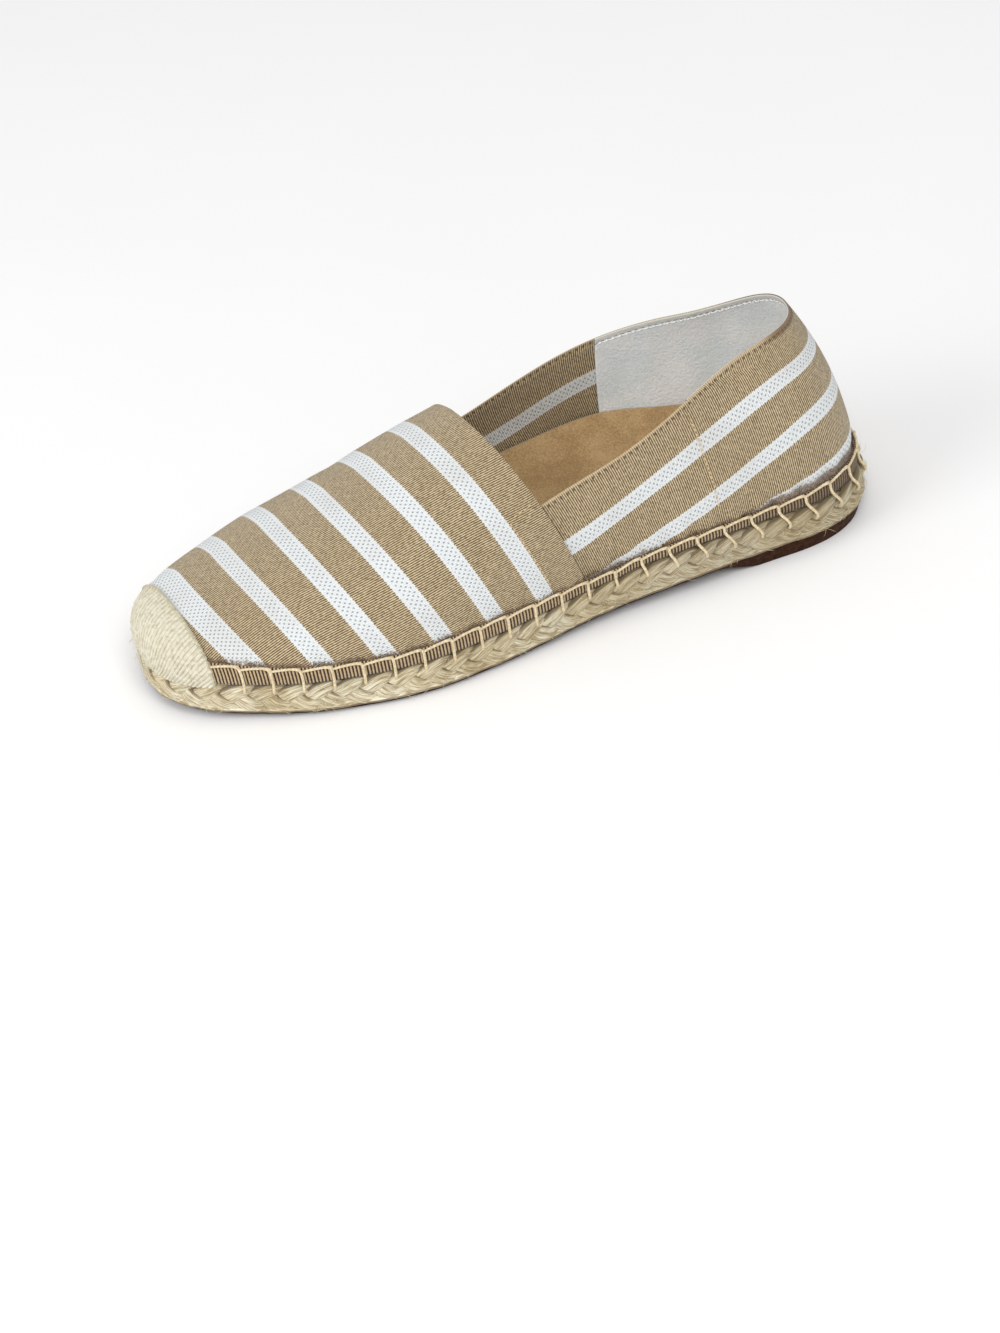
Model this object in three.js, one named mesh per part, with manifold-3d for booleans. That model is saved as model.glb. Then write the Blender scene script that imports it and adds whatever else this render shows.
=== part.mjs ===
// Espadrille for the left foot, in millimetres: toe towards +X, lateral side towards +Y, ground at z = 0.
// A stitched plait of jute carries a striped cloth upper; rubber lies under it and a contoured
// footbed in it. All curves follow one last: a station `at` along the foot, 0 at the heel's
// back and 1 at the toe's tip, and a turn `phi` over it, 0 lateral, half a turn medial.

import * as THREE from "three";
import { mergeVertices } from "three/addons/utils/BufferGeometryUtils.js";
import Module from "manifold-3d";

// Sizes of the sole
const SOLE_LENGTH = 258;
const BALL_WIDTH = 92.5; // what the outline's shares multiply
const RUBBER = 2.1; // outsole under the forefoot
const HEEL_LIFT = 4.7; // how much higher the heel's jute lies than the forefoot's
const TOE_SPRING = 3.7;
const JUTE_HEIGHT = 11.2;
const PLAIT_ROUND = 1.6; // how far the two rows of the plait round off at their edges
const STRAND_PITCH = 9.4;
const STRAND_RELIEF = 0.9;
const OUTSOLE_INSET = 1.1;
const HEEL_TAPER = 1.5; // how much the heel block narrows towards the ground

// Sizes of the upper
const LEDGE = 3.0; // from the edge of the sole in to the cloth
const COLLAR_HEIGHT = 65.4; // heel of the collar over the jute
const INSTEP_HEIGHT = 61.6; // top of the vamp's throat over the jute
const HEEL_LEAN = 19; // how far forward the heel leans at the collar
const QUARTER_WALL = 1.5;
const QUARTER_LAP = 12; // how far the quarters run in under the vamp
const VAMP_STEP = 1.2; // how much the vamp lies proud of the quarters
const VAMP_SINK = 0.6; // how deep its wall joins them

// Sizes of what is sewn on and laid in
const WELT_HEIGHT = 5.2;
const WELT_THICKNESS = 0.8;
const WELT_RAMP = 10; // over this much of its run the tape comes in from the vamp to the quarters
const CAP_THICKNESS = 1.6;
const FOOTBED = 5.0;
const FOOTBED_PLAY = 0.8; // more room round it, for the wall's lean
const ARCH_RISE = 13; // footbed's edge over its middle at the arch
const CLEARANCE = 0.3; // between two pieces that touch on the real shoe

// Shapes of the last as powers: the sides' ends in plan, the toe's roof, the roundness of a section
const TOE_POWER = 2.43;
const HEEL_POWER = 2.1;
const ROOF_POWER = 2.26;
const SECTION_POWER = 2.1;

// Stations along the foot
const TOE_FROM = 0.8; // where the outline starts to close round the toe
const HEEL_TO = 0.14;
const ROUND_TO = 0.3; // how far the heel's lean reaches
const WAIST_FROM = 0.22; // the jute comes down from the heel's height between these two
const WAIST_TO = 0.64;
const SPRING_FROM = 0.72;
const BREAST_FROM = 0.18; // front of the heel block, a slope
const BREAST_TO = 0.25;

// Outline in plan: middle and half width, as shares of BALL_WIDTH
const OUTLINE = [
  { at: 0.0, middle: 0.058, half: 0.354 },
  { at: 0.12, middle: 0.016, half: 0.363 },
  { at: 0.28, middle: -0.006, half: 0.398 },
  { at: 0.42, middle: -0.007, half: 0.406 },
  { at: 0.56, middle: 0.012, half: 0.44 },
  { at: 0.68, middle: -0.006, half: 0.476 },
  { at: 0.8, middle: -0.041, half: 0.446 },
  { at: 0.9, middle: -0.071, half: 0.395 },
  { at: 1.0, middle: -0.086, half: 0.378 },
];

// The last's ridge: its height as shares of COLLAR_HEIGHT and INSTEP_HEIGHT, its side step of BALL_WIDTH
const RIDGE = [
  { at: 0.0, collar: 1.13, instep: 0, side: 0 },
  { at: 0.15, collar: 1.093, instep: 0, side: 0 },
  { at: 0.35, collar: 0.7, instep: 0.64, side: -0.02 },
  { at: 0.5, collar: 0, instep: 1.0, side: -0.06 },
  { at: 0.6, collar: 0, instep: 0.847, side: -0.1 },
  { at: 0.7, collar: 0, instep: 0.659, side: -0.12 },
  { at: 0.8, collar: 0, instep: 0.503, side: -0.13 },
  { at: 0.9, collar: 0, instep: 0.367, side: -0.13 },
  { at: 1.0, collar: 0, instep: 0.358, side: -0.12 },
];

// The collar's edge over the jute on both sides, as shares of COLLAR_HEIGHT
const COLLAR = [
  { at: 0.0, lateral: 0.98, medial: 0.98 },
  { at: 0.1, lateral: 0.925, medial: 0.85 },
  { at: 0.22, lateral: 0.83, medial: 0.803 },
  { at: 0.36, lateral: 0.642, medial: 0.718 },
  { at: 0.48, lateral: 0.532, medial: 0.598 },
  { at: 0.6, lateral: 0.41, medial: 0.462 },
];

// Stations of the vamp's rear edge and of the toe cap's: on the lateral side, the ridge, the medial
// side; bow brings the edge's lateral half towards the heel and its medial half towards the toe
const THROAT = { lateral: 0.434, ridge: 0.538, medial: 0.479, bow: 0.128 };
const CAP_EDGE = { lateral: 0.936, ridge: 0.946, medial: 0.962, bow: 0 };

// How far the footbed's edge stands over its middle, as shares of ARCH_RISE
const CUP = [
  { at: 0.0, lateral: 0.52, medial: 0.52 },
  { at: 0.12, lateral: 0.46, medial: 0.5 },
  { at: 0.2, lateral: 0.4, medial: 0.66 },
  { at: 0.3, lateral: 0.32, medial: 1.0 },
  { at: 0.42, lateral: 0.24, medial: 0.92 },
  { at: 0.52, lateral: 0.16, medial: 0.66 },
  { at: 0.64, lateral: 0.08, medial: 0.24 },
  { at: 0.78, lateral: 0.04, medial: 0.06 },
  { at: 1.0, lateral: 0.0, medial: 0.0 },
];

const clamp = (x) => Math.min(1, Math.max(0, x));
const ease = (x) => clamp(x) ** 2 * (3 - 2 * clamp(x));

// A soft curve through one column of a table
function along(rows, column, at) {
  const where = Math.min(rows[rows.length - 1].at, Math.max(rows[0].at, at));
  let k = 0;
  while (k < rows.length - 2 && where > rows[k + 1].at) k++;
  const gap = (i) => rows[i + 1].at - rows[i].at;
  const rate = (i) => (rows[i + 1][column] - rows[i][column]) / gap(i);
  const slope = (i) => {
    if (i === 0) return rate(0);
    if (i === rows.length - 1) return rate(i - 1);
    return (gap(i) * rate(i - 1) + gap(i - 1) * rate(i)) / (gap(i - 1) + gap(i));
  };
  const width = gap(k);
  const t = (where - rows[k].at) / width;
  return (1 + 2 * t) * (1 - t) ** 2 * rows[k][column]
    + t * (1 - t) ** 2 * width * slope(k)
    + t * t * (3 - 2 * t) * rows[k + 1][column]
    + t * t * (t - 1) * width * slope(k + 1);
}

// Heights of the sole's layers over the ground
const toeSpring = (at) => TOE_SPRING * clamp((at - SPRING_FROM) / (1 - SPRING_FROM)) ** 2;
const heelLift = (at) => HEEL_LIFT * ease((WAIST_TO - at) / (WAIST_TO - WAIST_FROM));
const juteBottom = (at) => RUBBER + heelLift(at) + toeSpring(at);
const juteTop = (at) => juteBottom(at) + JUTE_HEIGHT;
const tread = (at) => (juteBottom(at) - RUBBER) * ease((at - BREAST_FROM) / (BREAST_TO - BREAST_FROM));

// The sole's outline, `inset` millimetres inside its edge; side is 1 lateral and -1 medial
const toeShare = (at) => clamp((at - TOE_FROM) / (1 - TOE_FROM));
const heelShare = (at) => clamp((HEEL_TO - at) / HEEL_TO);
const ends = (at) => (1 - toeShare(at) ** TOE_POWER) ** (1 / TOE_POWER)
  * (1 - heelShare(at) ** HEEL_POWER) ** (1 / HEEL_POWER);
const middle = (at) => along(OUTLINE, "middle", at) * BALL_WIDTH;
const half = (at, inset) => (along(OUTLINE, "half", at) * BALL_WIDTH - inset) * ends(at);
const lengthwise = (at, inset) => inset + at * (SOLE_LENGTH - 2 * inset) - SOLE_LENGTH / 2;
const rim = (at, side, inset) => [lengthwise(at, inset), middle(at) + side * half(at, inset)];

// The last, `off` millimetres outside the quarters' outer face
function roof(at, off) {
  const height = along(RIDGE, "collar", at) * COLLAR_HEIGHT + along(RIDGE, "instep", at) * INSTEP_HEIGHT;
  return (height + off) * (1 - toeShare(at) ** ROOF_POWER) ** (1 / ROOF_POWER);
}

function last(at, phi, off) {
  const c = Math.cos(phi);
  const s = Math.sin(phi);
  const reach = (Math.abs(c) ** SECTION_POWER + Math.abs(s) ** SECTION_POWER) ** (-1 / SECTION_POWER);
  const ridge = middle(at) + along(RIDGE, "side", at) * BALL_WIDTH * ends(at);
  const edge = middle(at) + Math.sign(c) * half(at, LEDGE - off);
  const z = roof(at, off) * s * reach;
  const lean = HEEL_LEAN * (z / COLLAR_HEIGHT) ** 2 * clamp(1 - at / ROUND_TO) ** 2;
  return [
    lengthwise(at, LEDGE - off) + lean,
    ridge + (edge - ridge) * Math.abs(c) * reach,
    juteTop(at) + CLEARANCE + z,
  ];
}

// The turn at which the last's face is `height` over the jute
function turnAt(at, height, side, off) {
  const s = Math.min(0.999, height / Math.max(roof(at, off), 0.001));
  const phi = Math.atan2(s, (1 - s ** SECTION_POWER) ** (1 / SECTION_POWER));
  return side > 0 ? phi : Math.PI - phi;
}

// An edge that crosses the last from side to side
function crossing(edge, phi) {
  const t = phi / Math.PI;
  return edge.lateral * (1 - t) * (1 - 2 * t) + edge.ridge * 4 * t * (1 - t)
    + edge.medial * t * (2 * t - 1) - edge.bow * t * (1 - t) * (1 - 2 * t);
}

// Triangles of a grid of points
function sheet(grid, turned) {
  const points = [];
  for (let i = 0; i + 1 < grid.length; i++) {
    for (let j = 0; j + 1 < grid[i].length; j++) {
      const [a, b, c, d] = [grid[i][j], grid[i + 1][j], grid[i + 1][j + 1], grid[i][j + 1]];
      points.push(...(turned ? [a, c, b, a, d, c] : [a, b, c, a, c, d]));
    }
  }
  return points;
}

// A wall between two grids, closed along its edges; `tip` says that the last row shrinks to a line
function wall(outer, inner, tip = false) {
  const column = (grid, j) => grid.map((row) => row[j]);
  const end = outer[0].length - 1;
  const points = [
    ...sheet(outer, false),
    ...sheet(inner, true),
    ...sheet([outer[0], inner[0]], true),
    ...sheet([column(outer, 0), column(inner, 0)], false),
    ...sheet([column(outer, end), column(inner, end)], true),
  ];
  if (!tip) points.push(...sheet([outer[outer.length - 1], inner[inner.length - 1]], false));
  return points;
}

// One closed, outward-facing solid from triangles whose points coincide where they meet
function solid(points) {
  const loose = new THREE.BufferGeometry();
  loose.setAttribute("position", new THREE.Float32BufferAttribute(points.flat(), 3));
  const merged = mergeVertices(loose, 1e-4);
  const place = merged.attributes.position;
  const corner = (i) => new THREE.Vector3().fromBufferAttribute(place, i);
  const kept = [];
  let volume = 0;
  for (let i = 0; i < merged.index.count; i += 3) {
    const [a, b, c] = [0, 1, 2].map((k) => merged.index.getX(i + k));
    if (a === b || b === c || c === a) continue;
    kept.push([a, b, c]);
    volume += corner(a).dot(corner(b).cross(corner(c)));
  }
  merged.setIndex(kept.flatMap(([a, b, c]) => (volume > 0 ? [a, b, c] : [a, c, b])));
  return merged;
}

const steps = (count, make) => Array.from({ length: count + 1 }, (_, i) => make(i / count));

// A slab over the sole's outline: rings from the top face's edge down to the bottom face's
function slab(rings, topHeight, bottomHeight, stations, across) {
  const row = (t) => (1 - Math.cos(Math.PI * t)) / 2;
  const side = (way) => steps(stations, (t) => rings.map((ring) => {
    const at = row(t);
    return [...rim(at, way, ring.inset(at)), ring.height(at, way)];
  }));
  const face = (inset, height) => steps(stations, (t) => steps(across, (w) => {
    const at = row(t);
    const share = 2 * w - 1;
    return [lengthwise(at, inset(at)), middle(at) + share * half(at, inset(at)), height(at, share)];
  }));
  return solid([
    ...sheet(face(rings[0].inset, topHeight), false),
    ...sheet(face(rings[rings.length - 1].inset, bottomHeight), true),
    ...sheet(side(1), false),
    ...sheet(side(-1), true),
  ]);
}

// The jute sole: one plait wound round and round, so its side shows two rows of slanting strands.
// Even columns are the strands' crests and odd ones the grooves between them.
function makeMidsole() {
  const samples = 240;
  const walk = (side) => {
    const path = steps(samples, (t) => {
      const at = (1 - Math.cos(Math.PI * t)) / 2;
      return { at, point: rim(at, side, 0), run: 0 };
    });
    for (let i = 1; i < path.length; i++) {
      const [a, b] = [path[i - 1], path[i]];
      b.run = a.run + Math.hypot(b.point[0] - a.point[0], b.point[1] - a.point[1]);
    }
    return path;
  };
  const paths = { 1: walk(1), "-1": walk(-1) };
  const station = (side, share) => {
    const path = paths[side];
    const run = share * path[samples].run;
    let k = 0;
    while (k < samples - 1 && path[k + 1].run < run) k++;
    const t = (run - path[k].run) / (path[k + 1].run - path[k].run);
    return path[k].at * (1 - t) + path[k + 1].at * t;
  };
  const columns = 2 * Math.round(paths[1][samples].run / STRAND_PITCH); // on each side of the sole
  const slant = 1; // columns by which a strand's ends lag behind the plait's middle
  const rows = [0, 0.1, 0.25, 0.4, 0.5, 0.6, 0.75, 0.9, 1];
  const grid = rows.map((v) => steps(2 * columns, (t) => {
    const k = Math.round(t * 2 * columns) % (2 * columns);
    const place = (k - slant * Math.abs(2 * v - 1) + 2 * columns) % (2 * columns);
    const side = place <= columns ? 1 : -1;
    const at = station(side, side > 0 ? place / columns : (2 * columns - place) / columns);
    const rib = Math.abs(Math.sin(2 * Math.PI * v));
    const groove = k % 2 === 0 ? 0 : STRAND_RELIEF * rib;
    const edge = (side > 0 ? CAP_EDGE.lateral : CAP_EDGE.medial) - 0.75 * STRAND_PITCH / SOLE_LENGTH;
    const under = v > 0.45 ? ease((at - edge) * SOLE_LENGTH / CAP_THICKNESS) : 0; // pressed in under the toe cap
    const inset = (PLAIT_ROUND * (1 - rib) ** 1.5 + groove) * (1 - under)
      + (LEDGE - VAMP_STEP) * under;
    return [...rim(at, side, inset), juteBottom(at) + JUTE_HEIGHT * v];
  }));
  // A flat face spans the loop from the lateral strand ends to the medial ones
  const lid = (loop, turned) => {
    const pairs = steps(columns, (t) => {
      const k = Math.round(t * columns);
      return [loop[(k + slant) % (2 * columns)], loop[(2 * columns - k + slant) % (2 * columns)]];
    });
    return sheet(pairs, turned);
  };
  return solid([
    ...sheet(grid, false),
    ...lid(grid[0], false),
    ...lid(grid[rows.length - 1], true),
  ]);
}

// The rubber outsole: a thin sheet under the forefoot and waist, a low block with a sloping front
// under the heel
function makeOutsole() {
  const top = (at) => juteBottom(at) - CLEARANCE;
  const drop = (at) => (top(at) - tread(at) - RUBBER + CLEARANCE) / HEEL_LIFT;
  const inset = (at) => OUTSOLE_INSET + HEEL_TAPER * clamp(drop(at));
  const bevel = RUBBER / 4;
  return slab(
    [
      { inset: () => OUTSOLE_INSET, height: top },
      { inset: (at) => (OUTSOLE_INSET + inset(at)) / 2, height: (at) => (top(at) + tread(at) + bevel) / 2 },
      { inset, height: (at) => tread(at) + bevel },
      { inset: (at) => inset(at) + bevel, height: tread },
    ],
    top, tread, 44, 2,
  );
}

// The footbed: a moulded sole under suede, with a cup round the heel and a raised arch
function makeInsole() {
  const inset = LEDGE + QUARTER_WALL + CLEARANCE + FOOTBED_PLAY;
  const bottom = (at) => juteTop(at) + CLEARANCE;
  const rise = (at, share) => ARCH_RISE * along(CUP, share > 0 ? "lateral" : "medial", at);
  const top = (at, share) => {
    const room = roof(at, -VAMP_SINK) * 0.45; // stays under the toe's roof
    return bottom(at) + Math.min(FOOTBED + rise(at, share) * Math.abs(share) ** 2.6, Math.max(room, FOOTBED / 2));
  };
  const shoulder = FOOTBED / 4;
  return slab(
    [
      { inset: () => inset + shoulder, height: top },
      { inset: () => inset, height: (at, side) => top(at, side) - shoulder },
      { inset: () => inset, height: bottom },
    ],
    top, bottom, 38, 8,
  );
}

// The upper: two quarters in one piece round the heel and a vamp that laps over their front
// ends, joined to one hollow wall, open at the collar and all along its foot
async function makeUpper() {
  const front = (height, side) => {
    let at = THROAT.ridge;
    for (let i = 0; i < 8; i++) at = crossing(THROAT, turnAt(at, height, side, 0)) + QUARTER_LAP / SOLE_LENGTH;
    return at;
  };
  const quarter = (off) => steps(44, (s) => {
    const side = s <= 0.5 ? 1 : -1;
    const run = 1 - Math.cos(Math.abs(2 * s - 1) * Math.PI / 2);
    return steps(7, (t) => {
      const edge = (at) => COLLAR_HEIGHT * along(COLLAR, side > 0 ? "lateral" : "medial", at);
      let at = run * THROAT.ridge;
      for (let i = 0; i < 4; i++) at = run * front(t * edge(at), side);
      return last(at, turnAt(at, t * edge(at), side, off), off);
    });
  });
  const vamp = (off) => steps(20, (t) => steps(26, (w) => {
    const phi = Math.PI * w;
    const at = 1 - (1 - crossing(THROAT, phi)) * (1 - Math.sin(t * Math.PI / 2));
    return last(at, phi, off);
  }));
  const wasm = await Module();
  wasm.setup();
  const body = (geometry) => new wasm.Manifold(new wasm.Mesh({
    numProp: 3,
    vertProperties: Float32Array.from(geometry.attributes.position.array),
    triVerts: Uint32Array.from(geometry.index.array),
  }));
  const joined = body(solid(wall(quarter(0), quarter(-QUARTER_WALL))))
    .add(body(solid(wall(vamp(VAMP_STEP), vamp(-VAMP_SINK), true))));
  const mesh = joined.getMesh();
  const geometry = new THREE.BufferGeometry();
  geometry.setAttribute("position", new THREE.Float32BufferAttribute(mesh.vertProperties, 3));
  geometry.setIndex(Array.from(mesh.triVerts));
  return geometry;
}

// The toe cap: woven jute over the tip of the vamp, down to the middle of the plait
function makeToeCap() {
  const inner = VAMP_STEP + CLEARANCE;
  const skirt = JUTE_HEIGHT / 2;
  const hem = 2; // steps down each side
  const roofSteps = 16;
  const grid = (off) => steps(10, (t) => steps(roofSteps + 2 * hem, (w) => {
    const step = Math.round(w * (roofSteps + 2 * hem)) - hem;
    const phi = Math.PI * clamp(step / roofSteps);
    const at = 1 - (1 - crossing(CAP_EDGE, phi)) * (1 - Math.sin(t * Math.PI / 2));
    const below = Math.max(0, -step, step - roofSteps) / hem;
    const [x, y, z] = last(at, phi, off);
    return [x, y, z - skirt * below];
  }));
  return solid(wall(grid(inner + CAP_THICKNESS), grid(inner), true));
}

// The welt tape: a ribbed strip round the cloth's foot, from one end of the toe cap to the other,
// that the blanket stitch holds down
function makeWeltTape() {
  const turns = Math.PI * 0.75;
  const ramp = WELT_RAMP / SOLE_LENGTH;
  const grid = (thickness) => steps(84, (s) => {
    const side = s <= 0.5 ? 1 : -1;
    const way = side > 0 ? "lateral" : "medial";
    const run = (1 - Math.cos(Math.abs(2 * s - 1) * turns)) / (1 - Math.cos(turns));
    return steps(2, (t) => {
      const stop = crossing(CAP_EDGE, turnAt(CAP_EDGE[way], t * WELT_HEIGHT, side, VAMP_STEP));
      const at = run * (stop - 2 * CLEARANCE / SOLE_LENGTH);
      const off = CLEARANCE + VAMP_STEP * ease((at - THROAT[way] + 2 * ramp) / ramp) + thickness;
      return last(at, turnAt(at, t * WELT_HEIGHT, side, off), off);
    });
  });
  return solid(wall(grid(WELT_THICKNESS), grid(0)));
}

const group = new THREE.Group();
group.name = "espadrille";
const add = (name, geometry, color, roughness) => {
  const mesh = new THREE.Mesh(geometry, new THREE.MeshStandardMaterial({ color, roughness }));
  mesh.name = name;
  mesh.material.name = name;
  group.add(mesh);
};
add("outsole", makeOutsole(), 0x4a3222, 0.7);
add("midsole", makeMidsole(), 0xcfc3a0, 0.95);
add("insole", makeInsole(), 0xb08d60, 0.9);
add("upper", await makeUpper(), 0xb59d73, 0.9);
add("welt_tape", makeWeltTape(), 0x7d654b, 0.9);
add("toe_cap", makeToeCap(), 0xd6ccae, 0.95);

// The origin goes to the middle of the bounding box's bottom
const box = new THREE.Box3().setFromObject(group);
const shift = box.getCenter(new THREE.Vector3()).setZ(box.min.z).negate();
group.children.forEach((mesh) => mesh.geometry.translate(shift.x, shift.y, shift.z));

export default group;
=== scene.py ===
"""A left-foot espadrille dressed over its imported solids.

Sizes are in millimetres and go to metres in the meshes: toe +X, lateral side +Y, ground at z = 0.
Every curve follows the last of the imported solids: a station `at` from the heel's back, 0, to the
toe's tip, 1, and a turn `phi` over it from the lateral side, 0, to the medial side, half a turn.
"""

import math

import bpy
import numpy as np
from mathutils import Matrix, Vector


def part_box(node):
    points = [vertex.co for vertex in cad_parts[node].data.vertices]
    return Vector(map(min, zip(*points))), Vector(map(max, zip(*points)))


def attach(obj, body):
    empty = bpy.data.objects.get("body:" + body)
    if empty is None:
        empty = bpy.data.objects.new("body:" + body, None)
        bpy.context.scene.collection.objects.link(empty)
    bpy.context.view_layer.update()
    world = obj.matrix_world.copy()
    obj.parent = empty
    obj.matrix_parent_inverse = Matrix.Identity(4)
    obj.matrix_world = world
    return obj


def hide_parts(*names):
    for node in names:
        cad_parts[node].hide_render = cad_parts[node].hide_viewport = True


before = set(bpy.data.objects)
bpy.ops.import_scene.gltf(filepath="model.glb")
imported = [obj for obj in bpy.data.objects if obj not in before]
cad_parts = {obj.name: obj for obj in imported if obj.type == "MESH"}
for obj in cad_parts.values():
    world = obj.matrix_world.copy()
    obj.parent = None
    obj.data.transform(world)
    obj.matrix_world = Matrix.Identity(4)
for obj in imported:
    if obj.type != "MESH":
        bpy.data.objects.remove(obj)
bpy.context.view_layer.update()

# Rubber outsole: one moulded sheet of dark brown rubber, thin under the forefoot, with a low block
# under the heel whose front slopes. It is cemented to the jute, and its edge stands a little inside.

SOLE_LENGTH = 258
BALL_WIDTH = 92.5  # what the outline's shares multiply
RUBBER = 2.1
HEEL_LIFT = 4.7  # how much higher the jute lies under the heel than under the ball
TOE_SPRING = 3.7  # how far the toe curls up
OUTSOLE_INSET = 1.1
HEEL_TAPER = 1.5  # how much further in the heel block's lower edge stands
FORE_INSET = 0.9  # how much further in the thin sheet's worn lower edge stands
CLEARANCE = 0.3  # between pieces that meet
TOE_POWER = 2.43  # the superellipses that close the outline, and the stations where they begin
HEEL_POWER = 2.1
TOE_FROM = 0.8
HEEL_TO = 0.14
WAIST_FROM = 0.22  # where the heel's lift begins to fall, and where it has gone
WAIST_TO = 0.64
SPRING_FROM = 0.72
BREAST_FROM = 0.18  # the heel block's sloping front
BREAST_TO = 0.25
OUTLINE = {
    "at": [0, 0.12, 0.28, 0.42, 0.56, 0.68, 0.8, 0.9, 1],
    "middle": [0.058, 0.016, -0.006, -0.007, 0.012, -0.006, -0.041, -0.071, -0.086],
    "half": [0.354, 0.363, 0.398, 0.406, 0.44, 0.476, 0.446, 0.395, 0.378],
}


def clamp(x):
    """x held between 0 and 1."""
    return np.clip(x, 0, 1)


def ease(x):
    """A soft step from 0 to 1: 3x^2 - 2x^3."""
    return clamp(x) ** 2 * (3 - 2 * clamp(x))


def along(table, column, at):
    """A soft curve through one column of a table: cubic pieces, each row's slope being the mean of
    the rates on its two sides, where the nearer side weighs more."""
    x, y = np.array(table["at"], float), np.array(table[column], float)
    gap = np.diff(x)
    rate = np.diff(y) / gap
    inner = (gap[1:] * rate[:-1] + gap[:-1] * rate[1:]) / (gap[1:] + gap[:-1])
    slope = np.concatenate([rate[:1], inner, rate[-1:]])
    where = np.clip(at, x[0], x[-1])
    k = np.clip(np.searchsorted(x, where, side="right") - 1, 0, len(gap) - 1)
    t = (where - x[k]) / gap[k]
    ends_part = (1 + 2 * t) * (1 - t) ** 2 * y[k] + t * t * (3 - 2 * t) * y[k + 1]
    return ends_part + gap[k] * (t * (1 - t) ** 2 * slope[k] + t * t * (t - 1) * slope[k + 1])


def jute_bottom(at):
    """Height of the jute's underside: the rubber, the heel's lift and the toe's spring."""
    lift = HEEL_LIFT * ease((WAIST_TO - at) / (WAIST_TO - WAIST_FROM))
    return RUBBER + lift + TOE_SPRING * clamp((at - SPRING_FROM) / (1 - SPRING_FROM)) ** 2


def tread(at, share=0):
    """Height of the rubber's underside: on the ground at the heel, a sheet's thickness ahead of it."""
    return (jute_bottom(at) - RUBBER) * ease((at - BREAST_FROM) / (BREAST_TO - BREAST_FROM))


def toe_share(at):
    """How far a station lies in the toe's end of the outline, from 0 to 1."""
    return clamp((at - TOE_FROM) / (1 - TOE_FROM))


def ends(at):
    """How the outline closes at toe and heel: a superellipse at each end."""
    toe = (1 - toe_share(at) ** TOE_POWER) ** (1 / TOE_POWER)
    return toe * (1 - clamp((HEEL_TO - at) / HEEL_TO) ** HEEL_POWER) ** (1 / HEEL_POWER)


def middle(at):
    """Y of the outline's middle line."""
    return along(OUTLINE, "middle", at) * BALL_WIDTH


def half(at, inset):
    """Half the outline's width, less an inset, closed at both ends."""
    return (along(OUTLINE, "half", at) * BALL_WIDTH - inset) * ends(at)


def lengthwise(at, inset):
    """X of a station: even steps from the heel's back to the toe's tip."""
    return inset + at * (SOLE_LENGTH - 2 * inset) - SOLE_LENGTH / 2


def point(*numbers):
    """Points, or the marks of points, from arrays of each of their numbers."""
    return np.stack(np.broadcast_arrays(*numbers), -1).astype(float)


def closer_at_ends(steps):
    """Stations from 0 to 1, closer together at both: (1 - cos(pi t)) / 2."""
    return (1 - np.cos(np.pi * np.linspace(0, 1, steps + 1))) / 2


def slab(rings, steps, across):
    """Sheets of a slab over the sole's outline. Its side goes through rings of (inset, height) from
    the top face's edge down to the bottom face's. An inset is a number or depends on the station; a
    height depends on the station and on the share of the half width, 1 lateral and -1 medial."""
    at = closer_at_ends(steps)

    def spot(inset, height, at, share):
        inset = inset(at) if callable(inset) else inset
        return point(lengthwise(at, inset), middle(at) + share * half(at, inset), height(at, share))

    def side(way):
        return np.stack([spot(inset, height, at, way) for inset, height in rings], 1)

    def face(inset, height):
        return spot(inset, height, *np.meshgrid(at, np.linspace(-1, 1, across + 1), indexing="ij"))

    return [face(*rings[0]), face(*rings[-1])[:, ::-1], side(1), side(-1)[:, ::-1]]


# The meshes are shifted to stand with the imported solids, by the low corner of the imported outsole's
# box
OUTLINE_STEPS = 44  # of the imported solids
outsole_rim = closer_at_ends(OUTLINE_STEPS)
outsole_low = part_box("outsole")[0] * 1000
SHIFT = np.array([
    outsole_low.x - lengthwise(0, OUTSOLE_INSET),
    outsole_low.y - (middle(outsole_rim) - half(outsole_rim, OUTSOLE_INSET)).min(),
    0.0,
])
WELD = 1e-4  # points nearer than this, in millimetres, are one


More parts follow.
